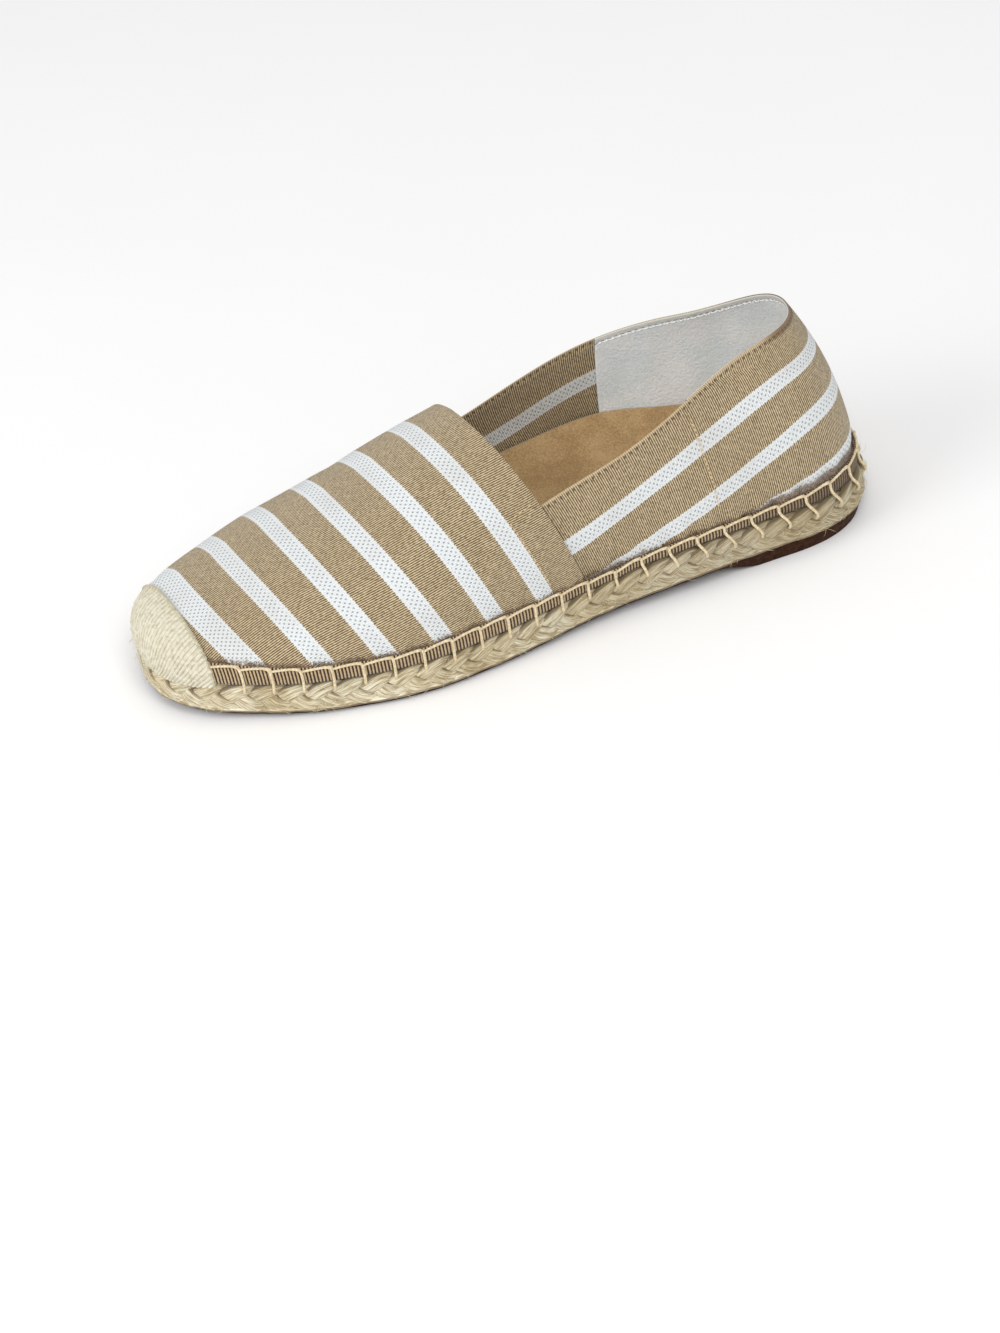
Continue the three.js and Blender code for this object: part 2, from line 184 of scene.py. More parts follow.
def surface(name, sheets, finish):
    """A mesh from grids of points, each alone or with the marks of its points: a UV in millimetres
    and, for cloth, the height over the tape. Points that coincide are welded, faces that shrink to a
    line dropped, and all faces turned outwards."""
    points, marks, faces = [], [], []
    start = 0
    for entry in sheets:
        grid, mark = entry if isinstance(entry, tuple) else (entry, np.zeros((*entry.shape[:2], 2)))
        rows, columns = grid.shape[:2]
        k = start + np.arange(rows * columns).reshape(rows, columns)
        a, b, c, d = k[:-1, :-1], k[1:, :-1], k[1:, 1:], k[:-1, 1:]
        faces += [np.stack([a, b, c], -1).reshape(-1, 3), np.stack([a, c, d], -1).reshape(-1, 3)]
        points.append(grid.reshape(-1, 3))
        marks.append(mark.reshape(rows * columns, -1))
        start += rows * columns
    points, marks, faces = np.concatenate(points), np.concatenate(marks), np.concatenate(faces)
    _, first, index = np.unique(
        np.round(points / WELD).astype(np.int64), axis=0, return_index=True, return_inverse=True
    )
    place = (points[first] + SHIFT) / 1000
    corners = index.reshape(-1)[faces]
    a, b, c = corners.T
    kept = (a != b) & (b != c) & (c != a)
    faces, corners = faces[kept], corners[kept]
    p, q, r = place[corners[:, 0]], place[corners[:, 1]], place[corners[:, 2]]
    if (p * np.cross(q, r)).sum() < 0:
        faces, corners = faces[:, ::-1], corners[:, ::-1]
    mesh = bpy.data.meshes.new(name)
    mesh.vertices.add(len(place))
    mesh.vertices.foreach_set("co", place.ravel())
    mesh.loops.add(corners.size)
    mesh.loops.foreach_set("vertex_index", np.ascontiguousarray(corners).ravel())
    mesh.polygons.add(len(corners))
    mesh.polygons.foreach_set("loop_start", np.arange(len(corners)) * 3)
    mesh.update(calc_edges=True)
    mesh.polygons.foreach_set("use_smooth", np.ones(len(corners), bool))
    mesh.uv_layers.new(name="cloth").data.foreach_set("uv", marks[faces, :2].ravel())
    if marks.shape[1] > 2:
        mesh.attributes.new("foot", "FLOAT", "POINT").data.foreach_set("value", marks[first, 2])
    mesh.materials.append(finish)
    piece = bpy.data.objects.new(name, mesh)
    bpy.context.scene.collection.objects.link(piece)
    return piece


class Wire:
    """A socket of a material's node tree. Expressions on wires add the Math nodes that they need."""

    def __init__(self, tree, socket=None):
        self.tree = tree
        self.socket = socket

    def node(self, kind, settings, inputs, output=0):
        """Adds a node: its settings first, then the values or wires of its sockets."""
        made = self.tree.nodes.new(kind)
        for name, value in settings.items():
            setattr(made, name, value)
        for name, value in inputs.items():
            if isinstance(value, Wire):
                self.tree.links.new(value.socket, made.inputs[name])
            else:
                made.inputs[name].default_value = value
        return Wire(self.tree, made.outputs[output])

    def maths(self, operation, *values):
        return self.node("ShaderNodeMath", {"operation": operation}, dict(enumerate(values)))

    def __add__(self, other):
        return self.maths("ADD", self, other)

    __radd__ = __add__

    def __mul__(self, other):
        return self.maths("MULTIPLY", self, other)

    __rmul__ = __mul__

    def __sub__(self, other):
        return self.maths("SUBTRACT", self, other)

    def __rsub__(self, other):
        return self.maths("SUBTRACT", other, self)

    def __truediv__(self, other):
        return self.maths("DIVIDE", self, other)

    def __mod__(self, other):
        return self.maths("FLOORED_MODULO", self, other)

    def __abs__(self):
        return self.maths("ABSOLUTE", self)

    def sine(self):
        return self.maths("SINE", self)

    def wave(self, period):
        """A sine of the wire with that period, from 0 to 1."""
        return (self * (2 * math.pi / period)).sine() * 0.5 + 0.5

    def soft_step(self, low, high):
        """0 below low and 1 above high, with a soft slope between."""
        places = {"Value": self, "From Min": low, "From Max": high}
        return self.node("ShaderNodeMapRange", {"interpolation_type": "SMOOTHSTEP"}, places)

    def blend(self, first, second):
        """The first colour where the wire is 0 and the second where it is 1."""
        return self.node("ShaderNodeMix", {"data_type": "RGBA"}, {0: self, 6: first, 7: second}, 2)

    def noise(self, scale, detail=2.0, stretch=(1, 1, 1)):
        """Noise over a vector wire, from about 0.3 to 0.7, with that many lumps a unit."""
        laid = self.node("ShaderNodeMapping", {}, {"Vector": self, "Scale": stretch})
        return self.node("ShaderNodeTexNoise", {}, {"Vector": laid, "Scale": scale, "Detail": detail})


def new_finish(name, roughness, sheen=0.0, shine=0.3):
    """A material, and a wire of its tree to start expressions from."""
    made = bpy.data.materials.new(name)
    made.use_nodes = True
    shader = made.node_tree.nodes["Principled BSDF"]
    shader.inputs["Roughness"].default_value = roughness
    shader.inputs["Specular IOR Level"].default_value = shine
    shader.inputs["Sheen Weight"].default_value = sheen
    return made, Wire(made.node_tree)


def feed(base, colour, height=None, depth=0.1):
    """Joins a colour, and a height as a bump of that depth in millimetres, to the shader."""
    links = base.tree.links
    inputs = base.tree.nodes["Principled BSDF"].inputs
    links.new(colour.socket, inputs["Base Color"])
    if height is not None:
        bump = base.node("ShaderNodeBump", {}, {"Distance": depth / 1000, "Height": height})
        links.new(bump.socket, inputs["Normal"])


def object_place(base):
    """Object coordinates in millimetres, as a vector wire."""
    place = base.node("ShaderNodeTexCoord", {}, {}, "Object")
    return base.node("ShaderNodeVectorMath", {"operation": "SCALE"}, {0: place, "Scale": 1000})


def split(vector):
    """The three numbers of a vector wire."""
    return [vector.node("ShaderNodeSeparateXYZ", {}, {0: vector}, k) for k in range(3)]


def tone(red, green, blue):
    """A colour as it shows on a screen, 0 to 255, turned to the linear values that shaders take."""
    shares = np.array([red, green, blue]) / 255
    linear = np.where(shares < 0.04045, shares / 12.92, ((shares + 0.055) / 1.055) ** 2.4)
    return (*linear, 1)


GROOVES = {"pitch": 4.5, "sway": 3, "wave": 16}  # the shallow wavy grooves of the tread
rubber, base = new_finish("brown_rubber", 0.62, 0.0, 0.1)
place = object_place(base)
x, y, z = split(place)
scuff = place.noise(0.5, 4)
grooves = (x + y.wave(GROOVES["wave"]) * GROOVES["sway"]).wave(GROOVES["pitch"]).soft_step(0.2, 0.5)
under = z.soft_step(3, 1)
feed(
    base, scuff.soft_step(0.35, 0.7).blend(tone(48, 25, 12), tone(70, 41, 23)),
    grooves * under + place.noise(3, 3) * 0.3, 0.5,
)


def outsole_inset(at):
    """How far in the lower edge stands, from the thin sheet's to the heel block's."""
    block = clamp((jute_bottom(at) - tread(at) - RUBBER) / HEEL_LIFT)
    return OUTSOLE_INSET + HEEL_TAPER * block + FORE_INSET * (1 - block)


def over_jute(above):
    """A slab's face that lies that far over the jute's underside."""
    return lambda at, share=0: jute_bottom(at) + above


BEVEL = RUBBER / 4
rubber_top = over_jute(-CLEARANCE)
outsole = surface("outsole_rubber", slab(
    [
        (OUTSOLE_INSET + BEVEL / 2, rubber_top),
        (OUTSOLE_INSET, lambda at, way: rubber_top(at) - BEVEL / 2),
        (
            lambda at: (OUTSOLE_INSET + outsole_inset(at)) / 2,
            lambda at, way: (rubber_top(at) + tread(at) + BEVEL) / 2,
        ),
        (outsole_inset, lambda at, way: tread(at) + BEVEL),
        (lambda at: outsole_inset(at) + BEVEL * 0.3, lambda at, way: tread(at) + BEVEL * 0.3),
        (lambda at: outsole_inset(at) + BEVEL, tread),
    ],
    120, 6,
), rubber)
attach(outsole, "root")
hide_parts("outsole")

# Jute sole: three strands of jute yarn are plaited flat, and the plait is wound round and round
# and stitched through. Its outermost turn shows two rows of slanting lobes, with loose hairs.

JUTE_HEIGHT = 11.2
STRAND_PITCH = 9.4
STRAND_SWAY = (2.9, 4.0)  # how far a strand goes up and down from the plait's middle line
STRAND_WEAVE = 1.05  # how far it goes in and out
STRAND_HALF = (1.8, 3.3)  # half its thickness and half its width
STRAND_INSET = 2.3
STRAND_LEAN = 0.3  # how much more of its way a strand spends in the lower row than in the upper
STRAND_STEPS = 44  # along each period of the plait
STRAND_SIDES = 28
PLAIT_LINE = 0.1  # how far the rows' meeting line lies over the middle of the jute's height
PLAIT_FLAT = (5.9, 5.9, 2.5)  # how far up, down and out from it the strands are pressed flat
YARNS = 7  # what shows of the yarns in a strand, as ridges round it
YARN_RIDGE = 0.07  # their height, as a share of the strand's thickness
# The rope of yarns along the plait's foot
SELVAGE = {"inset": 1.6, "half": 1.5, "height": 0.9, "steps": 1200, "sides": 16}
# Stations of the toe cap's hem
CAP_EDGE = {"lateral": 0.934, "ridge": 0.957, "medial": 0.958, "bow": 0.08}
CAP_REBATE = 1.1  # how far the plait's upper row is pressed in ahead of it
RIM_STEPS = 2000  # of the outline's each side, where it is measured


def lengths(path):
    """How far each point of a path, or of each row of a grid, lies from the first, along it."""
    steps = np.linalg.norm(np.diff(path, axis=-2), axis=-1)
    return np.concatenate([np.zeros((*steps.shape[:-1], 1)), np.cumsum(steps, -1)], -1)


def sole_loop(inset, count):
    """Even steps round the sole from the heel's back along the lateral side to the toe and back:
    the points, their stations, the outward directions and the length of the loop."""
    ramp = closer_at_ends(RIM_STEPS)
    at = np.concatenate([ramp, ramp[::-1][1:]])
    way = np.repeat([1.0, -1.0], [RIM_STEPS + 1, RIM_STEPS])
    flat = point(lengthwise(at, inset), middle(at) + way * half(at, inset))
    run = lengths(flat)
    even = np.linspace(0, run[-1], count + 1)
    spot = point(np.interp(even, run, flat[:, 0]), np.interp(even, run, flat[:, 1]))
    ahead = np.roll(spot[:-1], -2, 0) - np.roll(spot[:-1], 2, 0)
    ahead = np.concatenate([ahead, ahead[:1]])
    ahead /= np.linalg.norm(ahead, axis=-1, keepdims=True)
    return spot, np.interp(even, run, at), point(-ahead[:, 1], ahead[:, 0]), run[-1]


def tube(path, across, radius, sides):
    """A tube round each path: rings square to it, the first direction of a ring being `across` made
    square to the path, the second square to both. `radius` is half the ring's width, or a pair of
    half its two widths."""
    ahead = np.gradient(path, axis=-2)
    ahead /= np.linalg.norm(ahead, axis=-1, keepdims=True)
    second = np.cross(ahead, across)
    second /= np.linalg.norm(second, axis=-1, keepdims=True)
    first = np.cross(second, ahead)
    turn = np.linspace(0, 2 * np.pi, sides + 1)
    pair = radius if isinstance(radius, tuple) else (radius, radius)
    wide, high = [np.asarray(r)[..., None, None] for r in pair]
    ring = wide * np.cos(turn)[:, None] * first[..., None, :]
    ring = ring + high * np.sin(turn)[:, None] * second[..., None, :]
    return path[..., None, :] + ring


def pressed(distance, limit):
    """A distance that bends softly to its limit: x / (1 + |x / limit|^6)^(1/6)."""
    return distance / (1 + np.abs(distance / limit) ** 6) ** (1 / 6)


def uneven(run, first, second, start=0):
    """Thickness along a thread, spun unevenly: 1 and two sines, each by its share and its wave."""
    return 1 + first[0] * np.sin(run / first[1]) + second[0] * np.sin(run / second[1] + start)


periods = round(sole_loop(STRAND_INSET, 400)[3] / (3 * STRAND_PITCH))
steps = periods * STRAND_STEPS
spot, station, outward, loop_length = sole_loop(STRAND_INSET, steps)
length = np.arange(steps + 1) * loop_length / steps
line = jute_bottom(station) + JUTE_HEIGHT / 2 + PLAIT_LINE
across = point(*outward.T, 0)
turns = np.linspace(0, 2 * np.pi, STRAND_SIDES + 1)
cap_from = CAP_EDGE["lateral"] - 0.75 * STRAND_PITCH / SOLE_LENGTH
strands = []
for k in range(3):
    turn = 2 * np.pi * (np.arange(steps + 1) / STRAND_STEPS + k / 3)
    turn = turn + STRAND_LEAN * (1 - np.cos(turn)) / 2
    height = np.where(np.sin(turn) > 0, *STRAND_SWAY) * np.sin(turn)
    under = ease((station - cap_from) * 60) * ease((height - 1) / 2)
    out = -STRAND_WEAVE * np.sin(2 * turn) - CAP_REBATE * under
    path = point(*(spot + outward * out[:, None]).T, line + height)
    swell = uneven(length, (0.05, 7.3), (0.04, 2.9), k)
    grid = tube(path, across, (STRAND_HALF[0] * swell, STRAND_HALF[1] * swell), STRAND_SIDES)
    ridge = np.abs(np.sin(YARNS * turns / 2 + length[:, None] / 6 + k)) - 0.6
    grid = path[:, None] + (grid - path[:, None]) * (1 + YARN_RIDGE * ridge[..., None])
    lift = grid[..., 2] - line[:, None]
    grid[..., 2] = line[:, None] + pressed(lift, np.where(lift > 0, *PLAIT_FLAT[:2]))
    reach = ((grid[..., :2] - spot[:, None]) * outward[:, None]).sum(-1)
    grid[..., :2] += (pressed(reach, PLAIT_FLAT[2]) - reach)[..., None] * outward[:, None]
    grid[-1] = grid[0]
    strands.append((grid, point(length[:, None], turns * STRAND_HALF[0])))

spot, station, outward, loop_length = sole_loop(SELVAGE["inset"], SELVAGE["steps"])
length = np.linspace(0, loop_length, len(spot))
thick = SELVAGE["half"] * uneven(length, (0.06, 3.1), (0.05, 1.7))
path = point(*spot.T, jute_bottom(station) + SELVAGE["height"])
grid = tube(path, point(*outward.T, 0), thick, SELVAGE["sides"])
grid[-1] = grid[0]
turns = np.linspace(0, 2 * np.pi, SELVAGE["sides"] + 1)
strands.append((grid, point(length[:, None], turns * 0.4)))


def cloth_place(base):
    """The piece's own UV, in millimetres, as a vector wire."""
    return base.node("ShaderNodeUVMap", {"uv_map": "cloth"}, {})


# Straw-coloured fibres, with painted shade in the creases between strands and painted shade towards the
# heel
jute, base = new_finish("natural_jute", 0.9, 0.15)
_, v, _ = split(cloth_place(base))
fibre = cloth_place(base).noise(1.0, 3, (0.3, 5, 1))
hank = cloth_place(base).noise(1.0, 2, (0.09, 1.3, 1))
place = object_place(base)
x, _, _ = split(place)
straw = (fibre * 0.6 + hank * 0.4).soft_step(0.38, 0.6)
# Painted shade in the creases where the strands meet: their sides get darker tones, and the same mask
# sinks them in the bump
crease = abs((v / STRAND_HALF[0]).sine()).soft_step(0.66, 0.97)
pale = place.noise(0.07, 2).soft_step(0.35, 0.65).blend(tone(244, 237, 211), tone(226, 213, 178))
dark = (crease * 0.75).blend(tone(160, 140, 102), tone(92, 74, 48))
strand_colour = (straw * (1 - crease * 0.8)).blend(dark, pale)
# Painted shade: the plait gets darker towards the heel, where less light falls
heel_shade = x.soft_step(60, -90) * 0.42
jute_colour = heel_shade.blend(strand_colour, tone(126, 108, 76))
feed(base, jute_colour, fibre + hank * 0.8 - crease * 0.5, 0.5)
plait = surface("jute_plait", strands, jute)
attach(plait, "root")
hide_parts("midsole")

# The plait's inner turns, as one slab behind the outermost one
CORE_INSET = 3.6
CORE_SINK = 0.2  # how far the slab's face lies under the jute's top
packed_jute, base = new_finish("inner_jute", 0.95)
coils = object_place(base).noise(0.25, 3, (1, 3, 1))
feed(base, coils.soft_step(0.3, 0.7).blend(tone(150, 130, 92), tone(205, 190, 150)), coils, 1.0)
core_sides = [(CORE_INSET, over_jute(JUTE_HEIGHT - CORE_SINK)), (CORE_INSET, over_jute(0))]
core = surface("jute_core", slab(core_sides, 100, 8), packed_jute)
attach(core, "root")
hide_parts("midsole")


def mottled(name, roughness, lumps, dark, light, edges=None):
    """A finish of two tones mixed by noise of that many lumps a millimetre, sharper with edges."""
    made, base = new_finish(name, roughness)
    mix = object_place(base).noise(lumps)
    feed(base, (mix.soft_step(*edges) if edges else mix).blend(tone(*dark), tone(*light)))
    return made


# Loose fibres of the jute: fine bent hairs that stick out of the plait
HAIRS = 620
HAIR_RADIUS = 0.07
HAIR_REACH = (0.6, 2.6)  # how far out they go
HAIR_DRIFT = 2.6  # how far along and how far up or down they go, as deviations
HAIR_DROOP = 1.3
HAIR_LOWEST = 0.4  # over the ground
LOOP_SPOTS = 4000
chance = np.random.default_rng(7)
spot, station, outward, _ = sole_loop(CLEARANCE, LOOP_SPOTS)
pick = chance.integers(0, LOOP_SPOTS, HAIRS)
rise = chance.uniform(-5.0, 5.2, HAIRS)
root = point(*spot[pick].T, jute_bottom(station[pick]) + JUTE_HEIGHT / 2 + rise)
out = point(*outward[pick].T, 0)
side = np.cross(out, [0, 0, 1.0])
reach = chance.uniform(*HAIR_REACH, (HAIRS, 1, 1))
drift = chance.normal(0, HAIR_DRIFT, (HAIRS, 1, 1))
droop = chance.normal(-0.3, HAIR_DROOP, (HAIRS, 1, 1))
share = np.linspace(0, 1, 7)[:, None]
path = root[:, None] + out[:, None] * (reach * np.sin(share * np.pi * 0.6) - 0.3)
path = path + side[:, None] * drift * share + np.array([0, 0, 1.0]) * droop * share ** 2
path[..., 2] = np.maximum(path[..., 2], HAIR_LOWEST)
taper = HAIR_RADIUS * np.array([0, 1, 1, 1, 0.8, 0.5, 0])
hairs = tube(path, [0.3, 0.2, 1], taper, 3)
straw_hair = mottled("jute_hair", 0.7, 0.4, (198, 178, 128), (238, 230, 200), (0.3, 0.7))
fuzz = surface("jute_hairs", list(hairs), straw_hair)
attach(fuzz, "root")

# Footbed: moulded cork or foam with a heel cup and a raised arch, under tan suede that turns down
# over its edge. It lies loose on the jute, inside the upper.

LEDGE = 3.0  # how far inside the jute's edge the quarters stand
QUARTER_WALL = 1.5
FOOTBED = 5.0  # its thickness in the middle
FOOTBED_INSET = LEDGE + QUARTER_WALL + CLEARANCE + 0.8
ARCH_RISE = 13  # how much higher than that its edge stands at the arch
CUP_POWER = 2.6  # how steeply it rises to the edge
ROOM_SHARE = 0.45  # how much of the room under the vamp the bed's edge takes up at most
COLLAR_HEIGHT = 65.4
INSTEP_HEIGHT = 61.6
VAMP_SINK = 0.6
ROOF_POWER = 2.26
CUP = {
    "at": [0, 0.12, 0.2, 0.3, 0.42, 0.52, 0.64, 0.78, 1],
    "lateral": [0.52, 0.46, 0.4, 0.32, 0.24, 0.16, 0.08, 0.04, 0],
    "medial": [0.52, 0.5, 0.66, 1, 0.92, 0.66, 0.24, 0.06, 0],
}
RIDGE = {
    "at": [0, 0.15, 0.35, 0.5, 0.6, 0.7, 0.8, 0.9, 1],
    "collar": [1.13, 1.093, 0.7, 0, 0, 0, 0, 0, 0],
    "instep": [0, 0, 0.64, 1, 0.847, 0.659, 0.503, 0.367, 0.358],
    "side": [0, 0, -0.02, -0.06, -0.1, -0.12, -0.13, -0.13, -0.12],
}


def roof(at, off):
    """Height of the last's ridge over the jute, `off` outside the quarters' outer face."""
    height = along(RIDGE, "collar", at) * COLLAR_HEIGHT + along(RIDGE, "instep", at) * INSTEP_HEIGHT
    return (height + off) * (1 - toe_share(at) ** ROOF_POWER) ** (1 / ROOF_POWER)


bed_foot = over_jute(JUTE_HEIGHT + CLEARANCE)


def bed_top(at, share):
    """The bed's face: flat in the middle, rising to each edge as a power of the share."""
    edge = np.where(share > 0, along(CUP, "lateral", at), along(CUP, "medial", at))
    swell = FOOTBED + ARCH_RISE * edge * np.abs(share) ** CUP_POWER
    room = np.maximum(roof(at, -VAMP_SINK) * ROOM_SHARE, FOOTBED / 2)
    return bed_foot(at) + np.minimum(swell, room)


suede, base = new_finish("tan_suede", 0.95, 0.35)
place = object_place(base)
grain = place.noise(1.6, 4)
worn = (place.noise(0.1, 4) * 0.45 + grain * 0.55).soft_step(0.34, 0.66)
nap = grain + place.noise(5, 2) * 0.5
feed(base, worn.blend(tone(158, 126, 84), tone(194, 162, 116)), nap, 0.18)
shoulder = FOOTBED / 4
footbed = surface("suede_footbed", slab(
    [
        (FOOTBED_INSET + shoulder, bed_top),
        (FOOTBED_INSET + shoulder * 0.3, lambda at, way: bed_top(at, way) - shoulder * 0.25),
        (FOOTBED_INSET, lambda at, way: bed_top(at, way) - shoulder),
        (FOOTBED_INSET, bed_foot),
    ],
    110, 36,
), suede)
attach(footbed, "root")
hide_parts("insole")

# Quarters: striped cotton in one piece round the heel, its top edge rolled in. Its front ends lie
# under the vamp, and its foot is sewn to the jute.

HEEL_LEAN = 19  # how far forward the heel leans at the collar's height
ROUND_TO = 0.3  # the station where that lean has gone
SECTION_POWER = 2.1  # of the superellipses across the last
QUARTER_LAP = 12  # how far the quarters reach under the vamp
CLOTH = 1.05  # thickness of the quarters' and the vamp's cloth with its backing
EDGE_CLOTH = (0.45, 3.0)  # its share of that at the collar's edge, and how far down it is full
VAMP_STEP = 1.2  # how far the vamp's outer face lies over the quarters'
COLLAR = {
    "at": [0, 0.1, 0.22, 0.36, 0.48, 0.6],
    "lateral": [0.98, 0.925, 0.83, 0.642, 0.532, 0.41],
    "medial": [0.98, 0.85, 0.803, 0.718, 0.598, 0.462],
}
THROAT = {"lateral": 0.434, "ridge": 0.538, "medial": 0.479, "bow": 0.128}
# How far the middles of the quarters' three white stripes lie below the collar
DROPS = {
    "at": [0, 0.06, 0.1, 0.15, 0.21, 0.27, 0.33, 0.42],
    "upper": [12.4, 12.3, 12.5, 14.1, 15.9, 16.5, 17.2, 19.2],
    "centre": [29.8, 29.7, 31, 34.2, 37.4, 38.4, 37.9, 37.6],
    "lower": [52.5, 53.2, 53.6, 54, 55, 56, 57, 58],
}
STRIPE_PITCH = 17.6
STRIPE_FIRST = 14.3  # from the cloth's edge to the first stripe's middle
STRIPE_WIDTH = {"quarters": 5.5, "vamp": 6.2}
LAST_STRIPE = STRIPE_FIRST + 5 * STRIPE_PITCH  # the middle of the vamp's stripe next to the toe cap
LAST_EXTRA = 2.4  # how much wider that one is on its far side
RIB_PITCH = 0.74
DOT_PITCH = (1.05, 0.95)  # spacing of the knit's gaps across and along a stripe
HEM_PITCH = 2.4  # of the stitches that hold down the collar's edge
HEM_ROW = 0.95  # from the edge to their row of holes
STITCH_PITCH = 10.2  # of the blanket stitch, between whose legs the cloth swells
# How high over the jute the tape round the cloth's foot reaches
TAPE = {
    "at": [0, 0.05, 0.1, 0.2, 0.3, 0.42, 0.5, 0.57, 0.72, 0.85, 0.94],
    "height": [6.6, 6.2, 5.0, 3.7, 3.6, 3.4, 4.7, 5.6, 5.0, 5.8, 7.0],
}


def last(at, phi, off):
    """Points of the last, `off` outside the quarters' outer face: each section is a superellipse
    from the sole's edge over the ridge, and the heel leans forward as the square of the height."""
    c, s = np.cos(phi), np.sin(phi)
    stretch = (np.abs(c) ** SECTION_POWER + np.abs(s) ** SECTION_POWER) ** (-1 / SECTION_POWER)
    ridge = middle(at) + along(RIDGE, "side", at) * BALL_WIDTH * ends(at)
    edge = middle(at) + np.sign(c) * half(at, LEDGE - off)
    z = roof(at, off) * s * stretch
    lean = HEEL_LEAN * (z / COLLAR_HEIGHT) ** 2 * clamp(1 - at / ROUND_TO) ** 2
    return point(
        lengthwise(at, LEDGE - off) + lean,
        ridge + (edge - ridge) * np.abs(c) * stretch,
        bed_foot(at) + z,
    )


def turn_at(at, height, side, off=0.0):
    """The turn at which the last's face is `height` over the jute; side 1 lateral, -1 medial."""
    s = np.clip(height / np.maximum(roof(at, off), 0.001), 0, 0.999)
    phi = np.arctan2(s, (1 - s ** SECTION_POWER) ** (1 / SECTION_POWER))
    return np.where(np.asarray(side) > 0, phi, np.pi - phi)


def crossing(edge, phi):
    """The station of an edge that crosses the last: a parabola through its three stations, and a
    bow that brings its lateral half towards the heel and its medial half towards the toe."""
    t = phi / np.pi
    return (
        edge["lateral"] * (1 - t) * (1 - 2 * t)
        + edge["ridge"] * 4 * t * (1 - t)
        + edge["medial"] * t * (2 * t - 1)
        - edge["bow"] * t * (1 - t) * (1 - 2 * t)
    )


def collar(at, side):
    """Height of the collar's edge over the jute."""
    return COLLAR_HEIGHT * np.where(side > 0, along(COLLAR, "lateral", at), along(COLLAR, "medial", at))


def cloth_depth(drop):
    """Thickness of the quarters' cloth by the distance below the collar's edge."""
    return CLOTH * (EDGE_CLOTH[0] + (1 - EDGE_CLOTH[0]) * ease(drop / EDGE_CLOTH[1]))


def hump(x, centre, width):
    """A smooth hump, 1 at its centre: exp(-((x - centre) / width)^2)."""
    return np.exp(-((x - centre) / width) ** 2)


def wall(outer, inner, outer_uv, fold_steps=6, fold_depth=1.0):
    """Sheets of a wall between two grids. Its first row's edge is a half-round fold, and its other
    edges are flat; an edge that shrinks to a point disappears in the weld."""
    centre = (outer[0] + inner[0]) / 2
    arm = outer[0] - centre
    away = outer[0] - outer[1]
    away /= np.linalg.norm(away, axis=-1, keepdims=True)
    away *= np.linalg.norm(arm, axis=-1, keepdims=True) * fold_depth
    turn = np.linspace(0, np.pi, fold_steps + 1)[:, None, None]
    fold = centre + arm * np.cos(turn) + away * np.sin(turn)
    fold_uv = np.repeat(outer_uv[:1], fold_steps + 1, 0)

    def strip(k):
        return np.stack([outer[:, k], inner[:, k]]), np.stack([outer_uv[:, k]] * 2)

    def turned(sheet):
        return sheet[0][:, ::-1], sheet[1][:, ::-1]

    last_row = np.stack([outer[-1], inner[-1]]), np.stack([outer_uv[-1]] * 2)
    return [
        (outer, outer_uv), turned((inner, outer_uv)), turned((fold, fold_uv)),
        strip(0), turned(strip(-1)), last_row,
    ]


def lap_front(height, side):
    """The quarters' front end under the vamp, found by repeated substitution."""
    at = THROAT["ridge"]
    for _ in range(8):
        at = crossing(THROAT, turn_at(at, height, side)) + QUARTER_LAP / SOLE_LENGTH
    return at


def pucker(run, height):
    """How far the cloth swells between the stitches of its foot."""
    return 0.3 * np.cos(2 * np.pi * run / STITCH_PITCH) * hump(height, 6, 5)


def quarter_grid(rows, columns):
    """Stations, sides, turns and heights of a grid from the collar's edge down, round the heel from
    one front end to the other."""
    s = np.linspace(-1, 1, columns + 1)[None, :]
    share = 1 - np.linspace(0, 1, rows + 1)[:, None]
    side = np.where(s <= 0, 1.0, -1.0)
    run = 1 - np.cos(np.abs(s) * np.pi / 2)
    at = run * THROAT["ridge"] * np.ones_like(share)
    for _ in range(4):
        at = run * lap_front(share * collar(at, side), side)
    height = share * collar(at, side)
    return at, side * np.ones_like(at), turn_at(at, height, side), height


# The cloth sags a little beside the arch, is drawn in over the tape at the heel and has long waves
at, side, phi, height = quarter_grid(60, 420)
flat = last(at, phi, 0)
run = lengths(flat[len(flat) // 2]) * np.ones_like(at)
sag = 0.5 * hump(at, 0.33, 0.05) * np.sin(np.pi * clamp(height / collar(at, side)))
over_tape = height - along(TAPE, "height", at)
tuck = 0.7 * hump(over_tape, 1.5, 1.8) * ease((0.2 - at) / 0.1)
wave = 0.25 * np.sin(run / 9) * hump(height, 14, 7)
off = pucker(run, height) - sag - tuck + wave
outer = last(at, phi, off)
drop = collar(at, side) - height
depth = cloth_depth(drop)
inner = last(at, turn_at(at, height, side, -depth), off + sag - depth)
upper, centre, lower = [along(DROPS, name, at) for name in ("upper", "centre", "lower")]
stripe = (
    STRIPE_FIRST * np.minimum(drop / upper, 1)
    + STRIPE_PITCH * clamp((drop - upper) / (centre - upper))
    + STRIPE_PITCH * np.maximum((drop - centre) / (lower - centre), 0)
)
# At the heel the frayed band reaches higher: partly the frayed cut edge, partly painted shade of the
# crease where the cloth is drawn in above the tape
heel_fray_and_shade = 1.6 * ease((0.22 - at) / 0.08)
quarter_marks = point(stripe, run, over_tape - heel_fray_and_shade)


